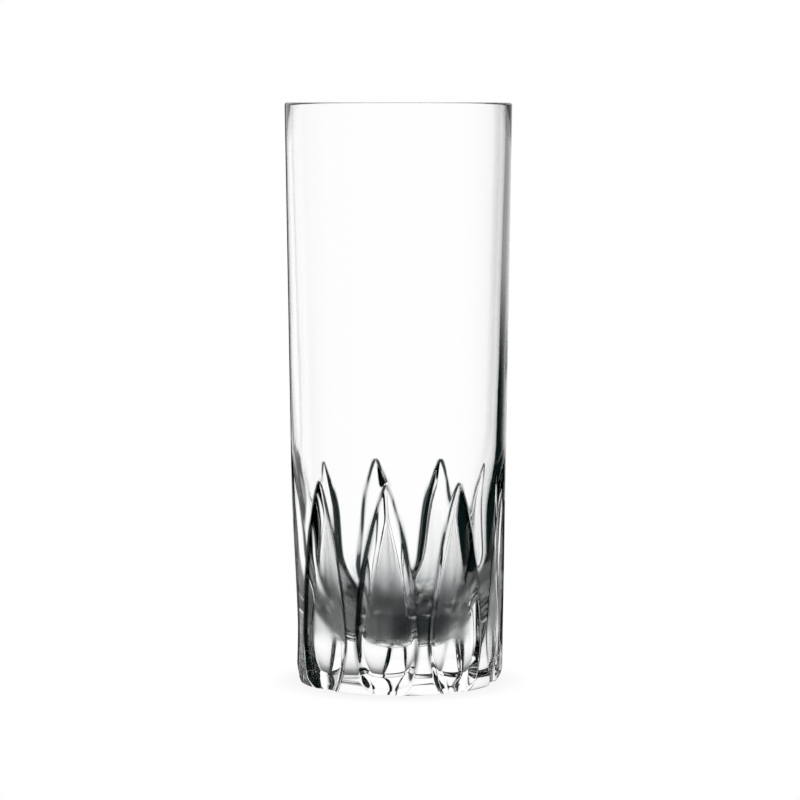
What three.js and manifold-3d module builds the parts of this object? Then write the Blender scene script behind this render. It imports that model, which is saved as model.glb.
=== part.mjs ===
// Juice glass: a tall, slightly tapered tumbler of clear crystal with a heavy base and a ring of leaf cuts.
// Millimetres, +Z up. The origin is the centre of the foot, on the table, and one leaf faces -Y.
import * as THREE from "three";
import { ParametricGeometry } from "three/addons/geometries/ParametricGeometry.js";
import { mergeVertices } from "three/addons/utils/BufferGeometryUtils.js";
import Module from "manifold-3d";

// Outside of the blank
const height = 133;
const rimRadius = 26;
const baseRadius = 24; // where the tapered wall, carried on down, meets the table
const heelRadius = 6; // rounding of the wall in towards the foot
const heelAngle = THREE.MathUtils.degToRad(35); // how far the wall has turned where it meets the foot
const puntRadius = 15.5; // shallow hollow under the foot, inside the ring that it stands on
const puntDepth = 0.9;

// Leaf cuts: flat panels sunk into the wall, with sloped borders that meet in a groove at the tip
const leafCount = 9;
const leafTipHeight = 48;
const leafWidestHeight = 12;
const leafRunOut = 4; // how far below the foot the cut would close, so that it runs out through the foot
const leafWidth = 14;
const leafDepth = 2; // panel below the round wall
const borderSlope = 0.65; // rise of a border towards the wall, for its width
const leafSwell = 1.5; // how long a leaf stays wide
const tipPoint = 0.8; // how sharply it closes at the tip
const footPoint = 0.37; // and towards the foot

// Wall and cavity
const rimWall = 1.3;
const shoulderWall = 2.2; // wall at the height where it starts to thicken
const shoulderAboveLeaf = 7.5; // height of that level over the leaf tips
const leafBackWall = 1.95; // glass left behind a panel at the top of the bowl
const floorThickness = 8.6;
const bowlDepth = 22.4; // height of the rounded bottom of the cavity
const bendEase = 0.45; // reach of the wall's directions into the bend above the bowl, as a share of its height

// Clearance of the leaf cutter outside the wall, and facets
const cutterMargin = 2;
const turnFacets = 72;
const curveSteps = 5;
const leafSteps = 18;

const wasm = await Module();
wasm.setup();

const taper = Math.atan((rimRadius - baseRadius) / height);
const outerRadius = (z) => baseRadius + z * Math.tan(taper);

// Half section of the blank: from the middle of the foot, up the outside, over the rim and down the cavity.
function blankProfile() {
  const heelHeight = heelRadius * Math.sin(heelAngle);
  const heelX = outerRadius(heelHeight - heelRadius * Math.sin(taper)) - heelRadius * Math.cos(taper);
  const lipRadius = rimWall / 2;
  const shoulderHeight = leafTipHeight + shoulderAboveLeaf;
  const shoulderRadius = outerRadius(shoulderHeight) - shoulderWall;
  const bowlTop = floorThickness + bowlDepth;
  const bowlRadius = outerRadius(bowlTop) - leafDepth - leafBackWall;
  const lipInner = rimRadius - rimWall;
  const wallSlope = (lipInner - shoulderRadius) / (height - lipRadius - shoulderHeight);
  const easing = (shoulderHeight - bowlTop) * bendEase;

  const path = new THREE.Path();
  path.moveTo(0, puntDepth);
  path.quadraticCurveTo(puntRadius / 2, puntDepth, puntRadius, 0);
  path.lineTo(heelX + heelRadius * Math.cos(heelAngle), 0);
  path.absarc(heelX, heelHeight, heelRadius, -heelAngle, -taper, false);
  path.lineTo(rimRadius, height - lipRadius);
  path.absarc(rimRadius - lipRadius, height - lipRadius, lipRadius, 0, Math.PI, false);
  path.lineTo(shoulderRadius, shoulderHeight);
  path.bezierCurveTo(
    shoulderRadius - wallSlope * easing,
    shoulderHeight - easing,
    bowlRadius,
    bowlTop + easing,
    bowlRadius,
    bowlTop,
  );
  path.absellipse(0, bowlTop, bowlRadius, bowlDepth, 0, -Math.PI / 2, true);
  return path.getPoints(curveSteps);
}

// Half width of a leaf on the wall: widest low down, pointed at the tip and drawn in towards the foot.
function leafHalfWidth(z) {
  const [end, point] = z > leafWidestHeight ? [leafTipHeight, tipPoint] : [-leafRunOut, footPoint];
  const run = Math.min((z - leafWidestHeight) / (end - leafWidestHeight), 1);
  return (leafWidth / 2) * (1 - run ** leafSwell) ** point;
}

// Corners of the leaf cutter at a height, as distance out from the axis and distance across the leaf.
function cutterSection(z) {
  const half = leafHalfWidth(z);
  const wall = outerRadius(z);
  const edge = Math.sqrt(wall ** 2 - half ** 2);
  const sink = Math.min(edge - wall + leafDepth, half * borderSlope);
  const flat = half - sink / borderSlope;
  const clear = half + cutterMargin / borderSlope;
  return [
    [edge - sink, -flat],
    [edge - sink, flat],
    [edge + cutterMargin, clear],
    [edge + cutterMargin, -clear],
  ];
}

// The solid that is ground away for one leaf, facing +X. It closes to a point outside the wall at each end.
function leafCutter() {
  const corners = cutterSection(leafWidestHeight).length;
  const surface = (along, around, target) => {
    const z = -leafRunOut + ((leafTipHeight + leafRunOut) * (1 - Math.cos(Math.PI * along))) / 2;
    const closed = along === 0 || along === 1;
    const [out, across] = cutterSection(z)[Math.round(around * corners) % corners];
    target.set(closed ? outerRadius(z) + cutterMargin : out, closed ? 0 : across, z);
  };
  return new ParametricGeometry(surface, leafSteps, corners);
}

// A closed geometry as a solid that can be cut.
function solidOf(geometry) {
  const bare = geometry.clone().deleteAttribute("normal").deleteAttribute("uv");
  const merged = mergeVertices(bare);
  const kept = [];
  const index = merged.index.array;
  for (let i = 0; i < index.length; i += 3) {
    const [a, b, c] = index.slice(i, i + 3);
    if (a !== b && b !== c && c !== a) kept.push(a, b, c);
  }
  const vertProperties = merged.attributes.position.array;
  return new wasm.Manifold(new wasm.Mesh({ numProp: 3, vertProperties, triVerts: new Uint32Array(kept) }));
}

function geometryOf(solid) {
  const { vertProperties, triVerts } = solid.getMesh();
  const geometry = new THREE.BufferGeometry();
  geometry.setAttribute("position", new THREE.BufferAttribute(vertProperties, 3));
  geometry.setIndex(new THREE.BufferAttribute(triVerts, 1));
  geometry.computeVertexNormals();
  return geometry;
}

function cutGlass() {
  let glass = solidOf(new THREE.LatheGeometry(blankProfile(), turnFacets).rotateX(Math.PI / 2));
  for (let i = 0; i < leafCount; i += 1) {
    const angle = -Math.PI / 2 + (i * 2 * Math.PI) / leafCount;
    glass = glass.subtract(solidOf(leafCutter().rotateZ(angle)));
  }
  return glass;
}

const crystal = new THREE.MeshStandardMaterial({ color: 0xf3f7f6, roughness: 0.03, metalness: 0 });
crystal.transparent = true;
crystal.opacity = 0.35;

const glassBody = new THREE.Mesh(geometryOf(cutGlass()), crystal);
glassBody.name = "glass_body";

const juiceGlass = new THREE.Group();
juiceGlass.add(glassBody);
export default juiceGlass;
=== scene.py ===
"""Juice glass: clear crystal tumbler with leaf cuts, in bright studio light. Metres, +Z up."""
import math

import bpy
import numpy as np
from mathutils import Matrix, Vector


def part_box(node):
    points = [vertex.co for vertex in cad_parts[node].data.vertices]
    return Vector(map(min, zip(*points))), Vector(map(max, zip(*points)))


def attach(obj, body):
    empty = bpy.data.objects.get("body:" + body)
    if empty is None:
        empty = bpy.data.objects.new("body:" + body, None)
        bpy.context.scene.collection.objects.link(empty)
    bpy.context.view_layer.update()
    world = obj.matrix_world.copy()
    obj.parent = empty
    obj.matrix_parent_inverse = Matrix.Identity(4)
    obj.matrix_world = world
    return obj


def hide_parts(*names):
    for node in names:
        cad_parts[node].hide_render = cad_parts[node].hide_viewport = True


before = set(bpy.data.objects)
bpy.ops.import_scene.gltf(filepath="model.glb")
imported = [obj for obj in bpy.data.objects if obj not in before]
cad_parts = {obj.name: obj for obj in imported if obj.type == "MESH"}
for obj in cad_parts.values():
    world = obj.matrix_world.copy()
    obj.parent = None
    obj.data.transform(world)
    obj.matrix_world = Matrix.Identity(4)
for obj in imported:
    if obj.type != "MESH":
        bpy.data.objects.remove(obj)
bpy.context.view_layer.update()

# Sizes that come from the frame
NODE = "glass_body"
_, node_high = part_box(NODE)
HEIGHT = node_high.z
RIM_RADIUS = node_high.x

# Outside of the glass
BASE_RADIUS = 0.024  # where the tapered wall, carried on down, meets the table
HEEL_RADIUS = 0.006  # rounding of the wall in towards the foot
HEEL_ANGLE = math.radians(35)  # how far the wall has turned where it meets the foot
FOOT_EDGE = 0.0003  # rounding of the foot's outer edge
PUNT_RADIUS = 0.0155  # shallow hollow under the foot
PUNT_DEPTH = 0.0009

# Wall and cavity
RIM_WALL = 0.0013
SHOULDER_WALL = 0.0022  # wall at the height where it starts to thicken
SHOULDER_HEIGHT = 0.0555
LEAF_BACK_WALL = 0.00195  # glass left behind a panel at the top of the bowl
FLOOR_THICKNESS = 0.0086
BOWL_DEPTH = 0.0224  # height of the rounded bottom of the cavity
BEND_EASE = 0.45  # reach of the wall's directions into the bend above the bowl, as a share of its height

# Leaf cuts
LEAF_COUNT = 9
LEAF_TIP = 0.048
LEAF_FOOT = -0.004  # where a leaf would close below the foot, so that it runs out through the foot
LEAF_WIDEST = 0.012
LEAF_WIDTH = 0.014
LEAF_SWELL = 1.5  # how long a leaf stays wide
LEAF_TIP_POINT = 0.8  # how sharply it closes at the tip
LEAF_FOOT_POINT = 0.37  # and towards the foot
LEAF_DEPTH = 0.002  # panel below the round wall
BORDER_SLOPE = 0.65  # rise of a border towards the wall, for its width
PANEL_HOLLOW = 0.0004  # hollow of a panel's middle
PANEL_FULL = 0.003  # half width from which a panel has all of its hollow
BORDER_BEND = 0.00015  # softness of the fold between panel and border
EDGE_ROUNDING = 0.0001  # softness of the edge between cut and wall
CUT_ROUNDS = 12  # rounds in which the radius of a cut settles

# Mesh density
PANEL_COLUMNS = 14
BORDER_COLUMNS = 9
LAND_COLUMNS = 14
PUNT_ROWS = 8
FOOT_ROWS = 3
FOOT_EDGE_ROWS = 5
HEEL_ROWS = 12
LEAF_ROW = 0.00042  # height of a row along the leaves
LEAF_OVERRUN = 0.0015  # how far past the tips the rows stay that close
WALL_ROWS = 14
WALL_ROW_GROWTH = 1.5  # how the rows of the plain wall open out with height
LIP_ROWS = 10
CAVITY_ROWS = 6
BEND_ROWS = 18
BOWL_ROWS = 28
LEAST_HALF_ANGLE = math.radians(1.2)  # least half angle of a leaf's columns
REST_SHARE = 0.35  # half angle of a leaf's columns on the plain wall, as a share of the pitch
SPREAD_HEIGHT = 0.03  # height above the tips over which the columns spread to that
FOLD_SHARE = 0.4  # share of that angle between the folds, where there is no leaf
LEAST_FOLD_SHARE = 0.2  # and the least share in a leaf

# Finish of the glass, and the shade painted into its colour. A pair holds the heights at which a finish or
# a shade starts to rise or fall and is done.
SATIN_EDGE = 0.0006  # width over which satin comes in from a panel's sides
PANEL_SATIN_RISE = (0.009, 0.014)
# Painted shade: a grey band in the colour of the leaf panels, low down
PANEL_SHADE = 0.4
PANEL_SHADE_RISE = (0.008, 0.014)
PANEL_SHADE_FALL = (0.014, 0.040)
# Painted shade: a dark line along each leaf's edge, in the glass's colour
OUTLINE_RISE = (0.002, 0.012)
OUTLINE_THINNING = (0.026, LEAF_TIP)
OUTLINE_WIDE = 0.00074  # depth of cut that the painted dark line of shade along a leaf's edge takes in, low down
OUTLINE_THIN = 0.00032  # and at the tip
OUTLINE_POWER = 4  # how sharply that line ends
BOWL_SATIN = 0.4
BOWL_SATIN_FALL = (0.018, 0.032)
# Painted shade: grey in the colour of the cavity's bottom, darkest low down
BOWL_SHADE = 0.6
BOWL_SHADE_FALL = (0.010, 0.028)

# Crystal
IOR = 1.54
SPECULAR = 0.05  # tint of plain reflections, low so that they don't grey the clear wall
# Colour of the glass along the painted shade: clear, grey, then near black
PAINTED_SHADE_STOPS = (
    (0.0, (1, 1, 1, 1)),
    (0.5, (0.485, 0.51, 0.515, 1)),
    (1.0, (0.002, 0.003, 0.003, 1)),
)
SATIN_ROUGHNESS = 0.32
SATIN_SPREAD = 0.06
STREAK_SCALE = 450
STREAK_STRETCH = (1, 1, 0.08)  # draws the grain out into upright streaks
STREAK_DETAIL = 1.0
STREAK_HEIGHT = 0.00003
WALL_WAVE = 0.004  # share of the streaks' height on polished glass
STREAK_LEVELS = (0.35, 0.65)  # levels of the grain between which the painted shade varies
STREAK_SHADE = (0.65, 1.6)  # what the painted shade is multiplied by at those levels

# Camera, taken from the photograph
CAMERA_TURN = math.radians(6.5)
CAMERA_DISTANCE = 0.753
CAMERA_AIM_HEIGHT = 0.0648
CAMERA_CLIP = 0.01
FOCAL_PIXELS = 3285
SHIFT_PIXELS = 1.5
IMAGE_PIXELS = 800
SENSOR_MM = 36

# Dish around the glass, which only the glass sees, glowing white with painted shade for its reflections and
# a painted shadow on its floor. Brightness runs from 0, dark, to 1, white.
DISH_RADIUS = 0.095
DISH_HEIGHT = 0.145
DISH_DROP = 0.0002  # below the foot
DISH_MIDDLE = 0.001  # radius of the single face in its middle
DISH_STEP = 2  # degrees between its columns
DISH_FLOOR_ROWS = 48
DISH_WALL_ROWS = 40
# colour of the dish's painted shade
DISH_DARK = (0.003, 0.008, 0.008, 1)

# Dark parts of the dish, painted shade for the glass to reflect, with a painted shadow on its floor. A turn
# is in degrees to the right of straight back, as the camera sees the glass.
# A pair holds the turn, height or radius at which a change starts, and the one at which it is done.
RIGHT_START_LOW = np.array((18, 34))
RIGHT_START_HIGH = np.array((20, 42))
RIGHT_START_FLOOR = (12, 32)
RIGHT_RISE = (0.030, 0.045)
FRONT_END = (228, 245)
LEFT_START = (304, 310)
LEFT_END = (328, 332)
LEFT_SHIFT = 20  # degrees that the left strip stands further back, high up
LEFT_RISE = (0.034, 0.046)
PALE_SHARE = 0.3  # share of the dark that is taken off the right side, high up
PALE_RISE = (0.060, 0.095)
PALE_END = (52, 65)
TOP_START = (55, 70)
TOP_END = (225, 240)
TOP_RISE = (0.080, 0.095)
FLOOR_DARK = 0.9  # how dark the painted shadow makes the floor below those parts, in reflections
UNDER_DARK = 0.02  # brightness of the painted shadow under the foot, towards its darkest turn
UNDER_LIGHT = 0.13  # and away from it
UNDER_TURN = 150
UNDER_SPREAD = (10, 80)
UNDER_END = (0.018, 0.026)

# Radius and brightness of the dish's floor around the foot, which a painted contact shadow darkens
CONTACT_STOPS = (
    (0.000, 0.06),
    (0.017, 0.09),
    (0.023, 0.16),
    (0.027, 0.40),
    (0.032, 0.70),
    (0.040, 0.90),
    (0.055, 1.0),
)

# Floor and sky
WHITE = (1, 1, 1, 1)
FLOOR_HALF = 5
FLOOR_DROP = 0.0004  # below the foot
FLOOR_SHADOW_RADII = (0.020, 0.032)
FLOOR_SHADOW = (0.90, 1.0)  # brightness at those radii
SKY_STOPS = ((-90, 1.0), (28, 1.0), (38, 0.05), (90, 0.05))  # degrees above the horizon, and brightness

# Worked out from the values above
TAPER = (RIM_RADIUS - BASE_RADIUS) / HEIGHT
HALF_WIDTH = LEAF_WIDTH / 2
PITCH = 2 * math.pi / LEAF_COUNT
REST_HALF_ANGLE = PITCH * REST_SHARE


def ease(t):
    t = min(max(t, 0.0), 1.0)
    return t * t * (3 - 2 * t)


def fade(value, start, end):
    """0 up to the start, 1 from the end on, and eased between them."""
    return ease((value - start) / (end - start))


def between(value, rise, fall):
    """1 between a rise and a fall, and 0 outside them."""
    return fade(value, *rise) * (1 - fade(value, *fall))


def mix(first, second, share):
    return first + (second - first) * share


def wall_radius(z):
    return BASE_RADIUS + TAPER * z


BOWL_TOP = FLOOR_THICKNESS + BOWL_DEPTH
BOWL_RADIUS = wall_radius(BOWL_TOP) - LEAF_DEPTH - LEAF_BACK_WALL


def leaf_half_width(z):
    end, point = (LEAF_TIP, LEAF_TIP_POINT) if z > LEAF_WIDEST else (LEAF_FOOT, LEAF_FOOT_POINT)
    t = min((z - LEAF_WIDEST) / (end - LEAF_WIDEST), 1.0)
    return HALF_WIDTH * (1 - t**LEAF_SWELL) ** point


def leaf_half_angle(radius, z):
    """Half angle of the leaf on a circle of the blank."""
    return math.asin(min(leaf_half_width(z) / radius, 1))


def edge_distance(z):
    """Distance from the axis, square to the leaf, at which the leaf's edges lie on the wall."""
    return math.sqrt(wall_radius(z) ** 2 - leaf_half_width(z) ** 2)


def panel_half(z):
    """Half width of the panel's flat middle, which is negative where the borders meet in a groove."""
    return leaf_half_width(z) - (edge_distance(z) - wall_radius(z) + LEAF_DEPTH) / BORDER_SLOPE


def border_rise(across, flat):
    """Softened distance past the flat middle, on either side."""
    past = np.logaddexp((across - flat) / BORDER_BEND, (-across - flat) / BORDER_BEND)
    return np.logaddexp(past, 0) * BORDER_BEND


def panel_face(across, z):
    """Distance from the axis, square to the leaf, of the ground face."""
    flat = panel_half(z)
    rise = border_rise(across, flat) - border_rise(leaf_half_width(z), flat)
    face = edge_distance(z) + BORDER_SLOPE * rise
    if flat <= 0:
        return face
    hollow = PANEL_HOLLOW * min(flat / PANEL_FULL, 1)
    return face - hollow * np.clip(1 - (across / flat) ** 2, 0, 1)


def cut_radius(angle, z, start):
    """Radius of the ground face in a direction off the leaf's middle."""
    radius = start.copy()
    for _ in range(CUT_ROUNDS):
        radius = panel_face(radius * np.sin(angle), z) / np.cos(angle)
    return radius


def arc(centre, radii, start, end, steps):
    """Points of an elliptical arc, after its first."""
    angles = np.linspace(start, end, steps + 1)[1:]
    return [(centre[0] + radii[0] * math.cos(a), centre[1] + radii[1] * math.sin(a)) for a in angles]


def line(start, end, steps):
    """Points of a straight line, after its first."""
    start = np.array(start)
    run = np.array(end) - start
    return [tuple(start + run * i / steps) for i in range(1, steps + 1)]


def outer_rows():
    """Half section of the outside, from close to the foot's middle up to the lip."""
    slope = math.atan(TAPER)
    edge_z = FOOT_EDGE * (1 - math.cos(math.pi / 2 - HEEL_ANGLE))
    heel_z = edge_z + HEEL_RADIUS * (math.sin(HEEL_ANGLE) - math.sin(slope))
    heel_x = wall_radius(heel_z) - HEEL_RADIUS * math.cos(slope)
    centre_z = edge_z + HEEL_RADIUS * math.sin(HEEL_ANGLE)
    edge_x = heel_x + (HEEL_RADIUS - FOOT_EDGE) * math.cos(HEEL_ANGLE)
    rows = []
    for x in np.linspace(0, PUNT_RADIUS, PUNT_ROWS + 1)[1:]:
        rows.append((x, PUNT_DEPTH * (1 - (x / PUNT_RADIUS) ** 2)))
    rows += line(rows[-1], (edge_x, 0), FOOT_ROWS)
    rows += arc((edge_x, FOOT_EDGE), (FOOT_EDGE, FOOT_EDGE), -math.pi / 2, -HEEL_ANGLE, FOOT_EDGE_ROWS)
    rows += arc((heel_x, centre_z), (HEEL_RADIUS, HEEL_RADIUS), -HEEL_ANGLE, -slope, HEEL_ROWS)
    leaf_start = rows[-1][1]
    leaf_end = LEAF_TIP + LEAF_OVERRUN
    steps = math.ceil((leaf_end - leaf_start) / LEAF_ROW)
    for z in np.linspace(leaf_start, leaf_end, steps + 1)[1:]:
        rows.append((wall_radius(z), z))
    top = HEIGHT - RIM_WALL / 2
    for share in np.linspace(0, 1, WALL_ROWS + 1)[1:]:
        z = mix(leaf_end, top, share**WALL_ROW_GROWTH)
        rows.append((wall_radius(z), z))
    return rows


def inner_rows():
    """Half section from the lip down the cavity, to close to the middle of its bottom."""
    lip = RIM_WALL / 2
    rows = arc((RIM_RADIUS - lip, HEIGHT - lip), (lip, lip), 0, math.pi, LIP_ROWS)
    shoulder = np.array((wall_radius(SHOULDER_HEIGHT) - SHOULDER_WALL, SHOULDER_HEIGHT))
    along = shoulder - np.array(rows[-1])
    rows += line(rows[-1], shoulder, CAVITY_ROWS)
    bowl = np.array((BOWL_RADIUS, BOWL_TOP))
    easing = (SHOULDER_HEIGHT - BOWL_TOP) * BEND_EASE
    upper = shoulder + along / -along[1] * easing
    lower = bowl + np.array((0, easing))
    for t in np.linspace(0, 1, BEND_ROWS + 1)[1:]:
        u = 1 - t
        rows.append(tuple(u**3 * shoulder + 3 * u * u * t * upper + 3 * u * t * t * lower + t**3 * bowl))
    rows += arc((0, BOWL_TOP), (BOWL_RADIUS, BOWL_DEPTH), 0, -math.pi / 2, BOWL_ROWS)[:-1]
    return rows


def column_angles(half, fold):
    """Angles of one leaf and the land beside it, with columns along the leaf's folds and edges."""
    border = (1 - np.cos(np.pi * np.arange(BORDER_COLUMNS) / BORDER_COLUMNS)) / 2
    land = (1 - np.cos(np.pi * np.arange(LAND_COLUMNS) / LAND_COLUMNS)) / 2
    left = -half + (half - fold) * border
    middle = -fold + 2 * fold * np.arange(PANEL_COLUMNS) / PANEL_COLUMNS
    right = fold + (half - fold) * border
    gap = half + (PITCH - 2 * half) * land
    return np.concatenate([left, middle, right, gap])


def outer_columns(r, z):
    """Angles of the columns on an outer ring: along the leaf, and spread out again above its tip."""
    if z >= LEAF_TIP:
        half = mix(LEAST_HALF_ANGLE, REST_HALF_ANGLE, ease((z - LEAF_TIP) / SPREAD_HEIGHT))
        return column_angles(half, half * FOLD_SHARE)
    panel_radius = wall_radius(z) - LEAF_DEPTH
    half = max(leaf_half_angle(max(r, panel_radius), z), LEAST_HALF_ANGLE)
    fold = math.asin(max(panel_half(z) - BORDER_BEND, 0) / panel_radius)
    return column_angles(half, max(fold, half * LEAST_FOLD_SHARE))


def ground_ring(radius, angles, z):
    """Radius, satin and painted shade around an outer ring into which the leaves are ground."""
    near = np.where(angles > PITCH / 2, angles - PITCH, angles)
    cut = cut_radius(near, z, radius)
    depth = radius - cut
    rounded = 0.5 * (radius + cut - np.sqrt(depth**2 + EDGE_ROUNDING**2))
    inward = panel_half(z) - np.abs(cut * np.sin(near))
    panel = np.clip(inward / SATIN_EDGE, 0, 1) * np.clip(depth / SATIN_EDGE, 0, 1)
    satin = panel * fade(z, *PANEL_SATIN_RISE)
    # Painted shade: a grey band on the panels, and a dark line along each leaf's edge
    panel_shade = PANEL_SHADE * satin * between(z, PANEL_SHADE_RISE, PANEL_SHADE_FALL)
    width = mix(OUTLINE_WIDE, OUTLINE_THIN, fade(z, *OUTLINE_THINNING))
    outline = fade(z, *OUTLINE_RISE) * np.exp(-((depth / width) ** OUTLINE_POWER))
    return rounded, satin, np.maximum(panel_shade, outline)


def ring_points(radius, angles, z):
    """Points of a ring, with the columns of one leaf repeated for each leaf."""
    turns = (np.arange(LEAF_COUNT) * PITCH - math.pi / 2)[:, None] + angles
    radii = np.broadcast_to(radius, turns.shape)
    heights = np.full(turns.shape, z)
    return np.stack([radii * np.cos(turns), radii * np.sin(turns), heights], 2).reshape(-1, 3)


def ring_faces(rings, columns):
    """Faces between each ring of points and the next."""
    faces = []
    for j in range(rings - 1):
        for i in range(columns):
            n = (i + 1) % columns
            faces.append((j * columns + i, j * columns + n, (j + 1) * columns + n, (j + 1) * columns + i))
    return faces


def point_layer(mesh, name, values):
    layer = mesh.attributes.new(name, "FLOAT", "POINT")
    layer.data.foreach_set("value", values)


def new_object(name, data):
    obj = bpy.data.objects.new(name, data)
    bpy.context.scene.collection.objects.link(obj)
    return obj


def glass_mesh():
    rings = []
    satin = []
    painted_shade = []
    for r, z in outer_rows():
        angles = outer_columns(r, z)
        radius = np.full_like(angles, r)
        ring_satin = np.zeros_like(angles)
        ring_shade = np.zeros_like(angles)
        if z < LEAF_TIP:
            radius, ring_satin, ring_shade = ground_ring(radius, angles, z)
        rings.append(ring_points(radius, angles, z))
        satin.append(np.tile(ring_satin, LEAF_COUNT))
        painted_shade.append(np.tile(ring_shade, LEAF_COUNT))
    columns = len(rings[0])
    even = column_angles(REST_HALF_ANGLE, REST_HALF_ANGLE * FOLD_SHARE)
    for r, z in inner_rows():
        rings.append(ring_points(r, even, z))
        satin.append(np.full(columns, BOWL_SATIN * (1 - fade(z, *BOWL_SATIN_FALL))))
        # painted shade in the bottom of the cavity
        painted_shade.append(np.full(columns, BOWL_SHADE * (1 - fade(z, *BOWL_SHADE_FALL))))
    points = np.concatenate(rings + [np.array([[0, 0, PUNT_DEPTH], [0, 0, FLOOR_THICKNESS]])])
    foot = len(points) - 2
    floor = len(points) - 1
    last = (len(rings) - 1) * columns
    faces = ring_faces(len(rings), columns)
    for i in range(columns):
        n = (i + 1) % columns
        faces.append((foot, n, i))
        faces.append((floor, last + i, last + n))
    mesh = bpy.data.meshes.new("glass")
    mesh.from_pydata(points.tolist(), [], faces)
    mesh.validate()
    mesh.shade_smooth()
    point_layer(mesh, "satin", np.concatenate(satin + [np.array((0, BOWL_SATIN))]))
    point_layer(mesh, "painted_shade", np.concatenate(painted_shade + [np.array((0, BOWL_SHADE))]))
    return mesh


def attribute(tree, name):
    node = tree.nodes.new("ShaderNodeAttribute")
    node.attribute_name = name
    return node.outputs["Fac"]


def remap(tree, value, source, target, interpolation="LINEAR"):
    """Value with the source range spread onto the target range, and kept within it."""
    node = tree.nodes.new("ShaderNodeMapRange")
    node.interpolation_type = interpolation
    for name, end in zip(("From Min", "From Max", "To Min", "To Max"), source + target):
        node.inputs[name].default_value = end
    tree.links.new(value, node.inputs["Value"])
    return node.outputs["Result"]


def product(tree, first, second):
    node = tree.nodes.new("ShaderNodeMath")
    node.operation = "MULTIPLY"
    tree.links.new(first, node.inputs[0])
    tree.links.new(second, node.inputs[1])
    return node.outputs[0]


def colour_ramp(tree, value, stops):
    node = tree.nodes.new("ShaderNodeValToRGB")
    elements = node.color_ramp.elements
    while len(elements) < len(stops):
        elements.new(0.5)
    for element, (position, colour) in zip(elements, stops):
        element.position = position
        element.color = colour
    tree.links.new(value, node.inputs["Fac"])
    return node.outputs["Color"]


def upright_streaks(tree):
    place = tree.nodes.new("ShaderNodeTexCoord")
    stretch = tree.nodes.new("ShaderNodeMapping")
    stretch.inputs["Scale"].default_value = STREAK_STRETCH
    tree.links.new(place.outputs["Object"], stretch.inputs["Vector"])
    noise = tree.nodes.new("ShaderNodeTexNoise")
    noise.inputs["Scale"].default_value = STREAK_SCALE
    noise.inputs["Detail"].default_value = STREAK_DETAIL
    tree.links.new(stretch.outputs["Vector"], noise.inputs["Vector"])
    return noise.outputs["Fac"]


def crystal():
    """Clear glass, with streaky satin, and painted shade in its colour where the mesh's layers ask for
    them.
    """
    mat = bpy.data.materials.new("crystal")
    mat.use_nodes = True
    tree = mat.node_tree
    shader = tree.nodes["Principled BSDF"]
    shader.inputs["IOR"].default_value = IOR
    shader.inputs["Transmission Weight"].default_value = 1.0
    shader.inputs["Specular Tint"].default_value = (SPECULAR, SPECULAR, SPECULAR, 1)
    streaks = upright_streaks(tree)
    satin = attribute(tree, "satin")
    # Painted shade from the mesh's layer, made streaky, darkens the glass's colour from clear to near black
    uneven = remap(tree, streaks, STREAK_LEVELS, STREAK_SHADE)
    painted_shade = product(tree, attribute(tree, "painted_shade"), uneven)
    tree.links.new(colour_ramp(tree, painted_shade, PAINTED_SHADE_STOPS), shader.inputs["Base Color"])
    grain = (SATIN_ROUGHNESS - SATIN_SPREAD, SATIN_ROUGHNESS + SATIN_SPREAD)
    roughness = product(tree, satin, remap(tree, streaks, (0, 1), grain))
    tree.links.new(roughness, shader.inputs["Roughness"])
    bump = tree.nodes.new("ShaderNodeBump")
    bump.inputs["Distance"].default_value = STREAK_HEIGHT
    tree.links.new(remap(tree, satin, (0, 1), (WALL_WAVE, 1)), bump.inputs["Strength"])
    tree.links.new(streaks, bump.inputs["Height"])
    tree.links.new(bump.outputs["Normal"], shader.inputs["Normal"])
    return mat


def glow(name):
    """Material that gives off plain white light."""
    mat = bpy.data.materials.new(name)
    mat.use_nodes = True
    nodes = mat.node_tree.nodes
    nodes.remove(nodes["Principled BSDF"])
    emit = nodes.new("ShaderNodeEmission")
    emit.inputs["Color"].default_value = WHITE
    mat.node_tree.links.new(emit.outputs["Emission"], nodes["Material Output"].inputs["Surface"])
    return mat


def wall_shade(turn, z):
    """Brightness of the wall in reflections, as painted shade: dark on the right, in front and in a strip
    on the left.
    """
    right_start = mix(RIGHT_START_LOW, RIGHT_START_HIGH, fade(z, *RIGHT_RISE))
    right = between(turn, right_start, FRONT_END)
    left = between(turn - LEFT_SHIFT * fade(z, *LEFT_RISE), LEFT_START, LEFT_END)
    pale = PALE_SHARE * fade(z, *PALE_RISE) * (1 - fade(turn, *PALE_END))
    top = fade(z, *TOP_RISE) * between(turn, TOP_START, TOP_END)
    return 1 - max(max(right, left) * (1 - pale), top)


def floor_shade(turn, r):
    """Brightness of the dish's floor, seen straight through the glass and in reflections, with a painted
    shadow around and under the foot.
    """
    radii, values = zip(*CONTACT_STOPS)
    contact = float(np.interp(r, radii, values))
    right = between(turn, RIGHT_START_FLOOR, FRONT_END)
    left = between(turn, LEFT_START, LEFT_END)
    reflected = contact * (1 - FLOOR_DARK * max(right, left))
    under = mix(UNDER_DARK, UNDER_LIGHT, fade(abs(turn - UNDER_TURN), *UNDER_SPREAD))
    outside = fade(r, *UNDER_END)
    return mix(under, contact, outside), mix(under, reflected, outside)


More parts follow.
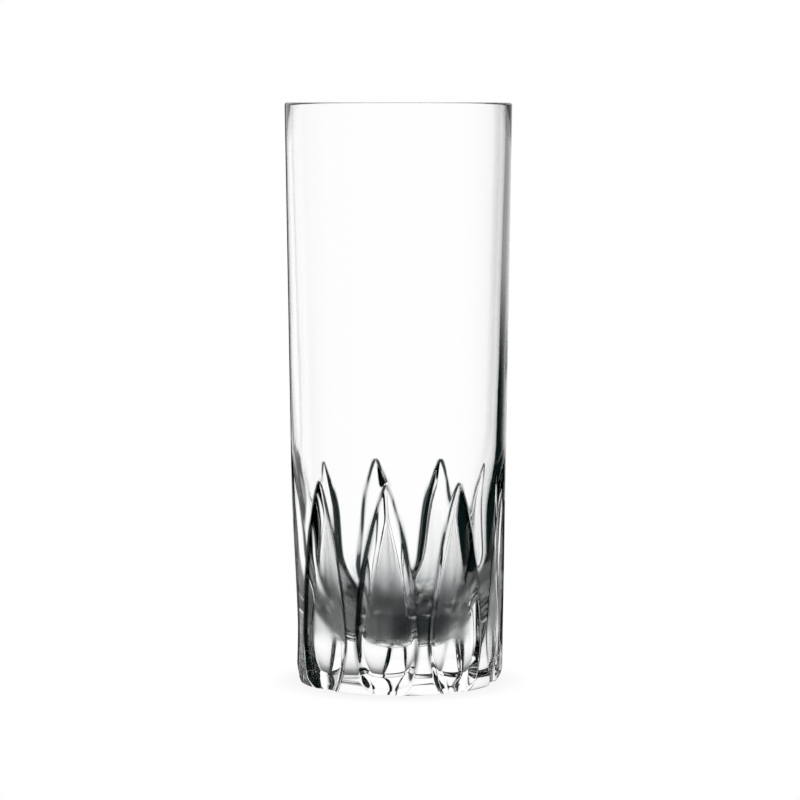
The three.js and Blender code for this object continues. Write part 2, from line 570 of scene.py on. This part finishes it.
def dish_mesh():
    turns = np.arange(0, 360, DISH_STEP)
    path = [(r, 0.0) for r in np.linspace(DISH_MIDDLE, DISH_RADIUS, DISH_FLOOR_ROWS)]
    path += [(DISH_RADIUS, z) for z in np.linspace(0, DISH_HEIGHT, DISH_WALL_ROWS)[1:]]
    points = []
    shades = []
    for r, z in path:
        for turn in turns:
            a = math.radians(turn) - CAMERA_TURN
            points.append((r * math.sin(a), r * math.cos(a), z))
            shades.append((1, wall_shade(turn, z)) if z > 0 else floor_shade(turn, r))
    mesh = bpy.data.meshes.new("dish")
    mesh.from_pydata(points, [], [tuple(range(len(turns)))] + ring_faces(len(path), len(turns)))
    for name, values in zip(("seen", "mirrored"), zip(*shades)):
        point_layer(mesh, name, values)
    return mesh


def dish_glow():
    """White, with one layer of painted shade where it is seen through the glass and another in reflections.
    """
    mat = glow("dish")
    tree = mat.node_tree
    ray = tree.nodes.new("ShaderNodeLightPath")
    bounced = tree.nodes.new("ShaderNodeMath")
    bounced.operation = "GREATER_THAN"
    bounced.inputs[1].default_value = 0.5
    tree.links.new(ray.outputs["Glossy Depth"], bounced.inputs[0])
    shade = tree.nodes.new("ShaderNodeMix")
    tree.links.new(bounced.outputs[0], shade.inputs["Factor"])
    tree.links.new(attribute(tree, "seen"), shade.inputs["A"])
    tree.links.new(attribute(tree, "mirrored"), shade.inputs["B"])
    colour = tree.nodes.new("ShaderNodeMix")
    colour.data_type = "RGBA"
    colour.inputs["A"].default_value = DISH_DARK
    colour.inputs["B"].default_value = WHITE
    tree.links.new(shade.outputs["Result"], colour.inputs["Factor"])
    tree.links.new(colour.outputs["Result"], tree.nodes["Emission"].inputs["Color"])
    return mat


def floor_paper():
    """White paper, with a painted shadow that makes it a little darker close around the foot."""
    mat = glow("floor")
    tree = mat.node_tree
    place = tree.nodes.new("ShaderNodeTexCoord")
    away = tree.nodes.new("ShaderNodeVectorMath")
    away.operation = "LENGTH"
    tree.links.new(place.outputs["Object"], away.inputs[0])
    shadow = remap(tree, away.outputs["Value"], FLOOR_SHADOW_RADII, FLOOR_SHADOW, "SMOOTHSTEP")
    tree.links.new(shadow, tree.nodes["Emission"].inputs["Strength"])
    return mat


def studio_world():
    """White to the camera, and a bright sky with a dark top to the glass."""
    world = bpy.data.worlds.new("studio")
    world.use_nodes = True
    tree = world.node_tree
    place = tree.nodes.new("ShaderNodeTexCoord")
    parts = tree.nodes.new("ShaderNodeSeparateXYZ")
    tree.links.new(place.outputs["Generated"], parts.inputs["Vector"])
    lift = tree.nodes.new("ShaderNodeMath")
    lift.operation = "ARCSINE"
    tree.links.new(parts.outputs["Z"], lift.inputs[0])
    spread = remap(tree, lift.outputs[0], (-math.pi / 2, math.pi / 2), (0, 1))
    sky = colour_ramp(tree, spread, [((up + 90) / 180, (v, v, v, 1)) for up, v in SKY_STOPS])
    path = tree.nodes.new("ShaderNodeLightPath")
    seen = tree.nodes.new("ShaderNodeMix")
    seen.data_type = "RGBA"
    seen.inputs["B"].default_value = WHITE
    tree.links.new(path.outputs["Is Camera Ray"], seen.inputs["Factor"])
    tree.links.new(sky, seen.inputs["A"])
    tree.links.new(seen.outputs["Result"], tree.nodes["Background"].inputs["Color"])
    return world


def photo_camera():
    data = bpy.data.cameras.new("camera")
    data.sensor_width = SENSOR_MM
    data.lens = FOCAL_PIXELS / IMAGE_PIXELS * SENSOR_MM
    data.shift_x = SHIFT_PIXELS / IMAGE_PIXELS
    data.clip_start = CAMERA_CLIP
    camera = new_object("camera", data)
    camera.location = (
        CAMERA_DISTANCE * math.sin(CAMERA_TURN),
        -CAMERA_DISTANCE * math.cos(CAMERA_TURN),
        HEIGHT,
    )
    aim = Vector((0, 0, CAMERA_AIM_HEIGHT))
    camera.rotation_mode = "QUATERNION"
    camera.rotation_quaternion = (aim - camera.location).to_track_quat("-Z", "Y")
    return camera


# The glass
glass = new_object("glass", glass_mesh())
glass.data.materials.append(crystal())
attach(glass, "root")
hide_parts(NODE)

# Floor
floor_mesh = bpy.data.meshes.new("floor")
floor_corners = [(x * FLOOR_HALF, y * FLOOR_HALF, 0) for x, y in ((-1, -1), (1, -1), (1, 1), (-1, 1))]
floor_mesh.from_pydata(floor_corners, [], [(0, 1, 2, 3)])
floor = new_object("floor", floor_mesh)
floor.location.z = -FLOOR_DROP
floor.data.materials.append(floor_paper())

# Dish that stands for the dark cards around the photographed glass, with painted shade and a painted shadow
# under the foot
dish = new_object("dish", dish_mesh())
dish.location.z = -DISH_DROP
dish.data.materials.append(dish_glow())
dish.visible_camera = False
dish.visible_diffuse = False
dish.visible_shadow = False

# Light, camera and view
bpy.context.scene.world = studio_world()
bpy.context.scene.camera = photo_camera()
bpy.context.scene.view_settings.view_transform = "Standard"
